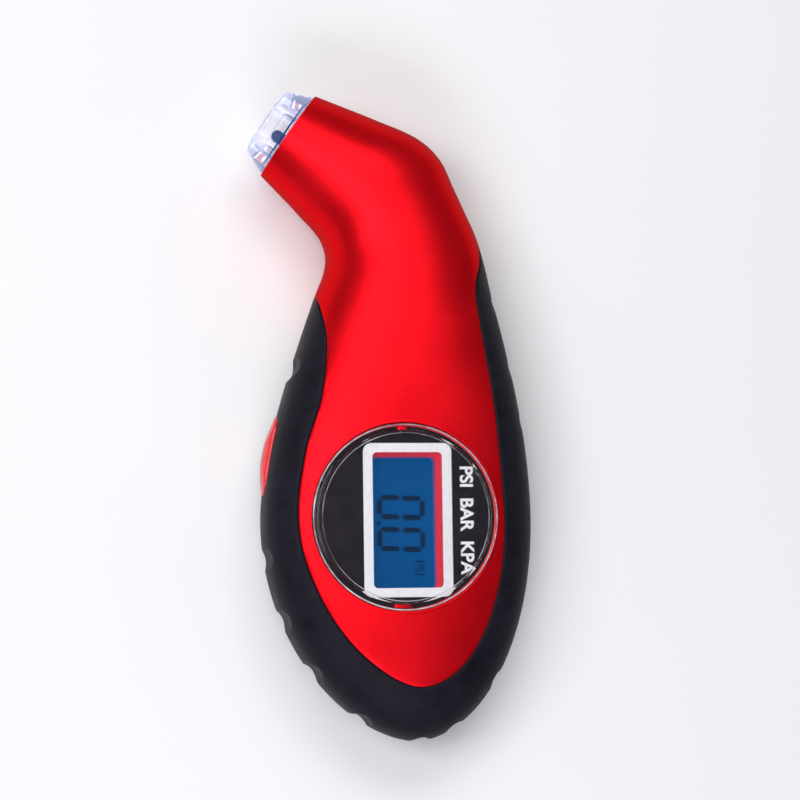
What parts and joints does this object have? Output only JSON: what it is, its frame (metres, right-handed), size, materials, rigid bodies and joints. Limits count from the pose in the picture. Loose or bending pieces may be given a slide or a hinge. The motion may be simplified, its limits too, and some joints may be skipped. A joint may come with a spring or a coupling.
{
  "type": "digital tire pressure gauge",
  "caption": "Hand-held digital tire pressure gauge with a bent head, a clear lit nozzle, a round display window, a side button and a rubber grip round the handle.",
  "frame": {"origin": "on the flat of the back, straight under the middle of the display lens", "axes": "+X across the handle away from the push button, +Y from the tail to the head, +Z out of the display"},
  "size_m": [0.0568, 0.1321, 0.0279],
  "materials": {
    "housing_red": "satin painted",
    "grip_rubber": "soft matte",
    "screw_steel": "zinc plated",
    "lens_clear": "clear polished acrylic",
    "label_black": "printed film",
    "lcd_white": "moulded",
    "lcd_front": "polished",
    "lcd_rear": "polished",
    "zebra_grey": "layered silicone",
    "backlight_blue": "diffusing",
    "board_green": "solder mask",
    "chip_black": "moulded epoxy",
    "component_tan": "ceramic",
    "connector_cream": "moulded",
    "plunger_white": "moulded",
    "button_red": "gloss",
    "cell_steel": "nickel plated",
    "contact_gold": "plated spring",
    "door_black": "fine spark texture",
    "nozzle_clear": "clear polished acrylic",
    "seal_rubber": "moulded",
    "pin_brass": "turned",
    "manifold_zinc": "die cast",
    "wire_red": "insulation",
    "led_blue": "epoxy",
    "led_wire": "insulation"
  },
  "bodies": {
    "body": {"front_housing": "housing_red", "rear_housing": "housing_red", "rubber_grip": "grip_rubber", "housing_screws": "screw_steel", "display_lens": "lens_clear", "face_label": "label_black", "lcd_frame": "lcd_white", "lcd_front_glass": "lcd_front", "lcd_rear_glass": "lcd_rear", "zebra_strips": "zebra_grey", "backlight_panel": "backlight_blue", "main_board": "board_green", "board_screws": "screw_steel", "controller_chip": "chip_black", "board_components": "component_tan", "wire_connector": "connector_cream", "side_switch": "chip_black", "coin_cell": "cell_steel", "battery_contact_positive": "contact_gold", "battery_contact_negative": "contact_gold", "nozzle_tip": "nozzle_clear", "valve_seal": "seal_rubber", "depressor_pin": "pin_brass", "sensor_manifold": "manifold_zinc", "manifold_o_ring": "seal_rubber", "pressure_sensor": "chip_black", "sensor_board": "board_green", "sensor_wires": "wire_red", "nozzle_leds": "led_blue", "led_wires": "led_wire"},
    "button": {"power_button": "button_red"},
    "plunger": {"switch_plunger": "plunger_white"},
    "door": {"battery_door": "door_black"}
  },
  "joints": [
    {"name": "button_press", "type": "slide", "parent": "body", "child": "button", "axis": [0.9848, -0.1736, 0], "range_m": [0, 0.0007], "stiffness_N_per_m": 700},
    {"name": "switch_press", "type": "slide", "parent": "body", "child": "plunger", "axis": [1, 0, 0], "range_m": [0, 0.0007]},
    {"name": "battery_door_turn", "type": "hinge", "parent": "body", "child": "door", "pos_m": [0, 0.01406, 0], "axis": [0, 0, -1], "range_deg": [0, 30]}
  ],
  "couplings": [
    {"joint": "switch_press", "follows": "button_press", "ratio": 1}
  ]
}
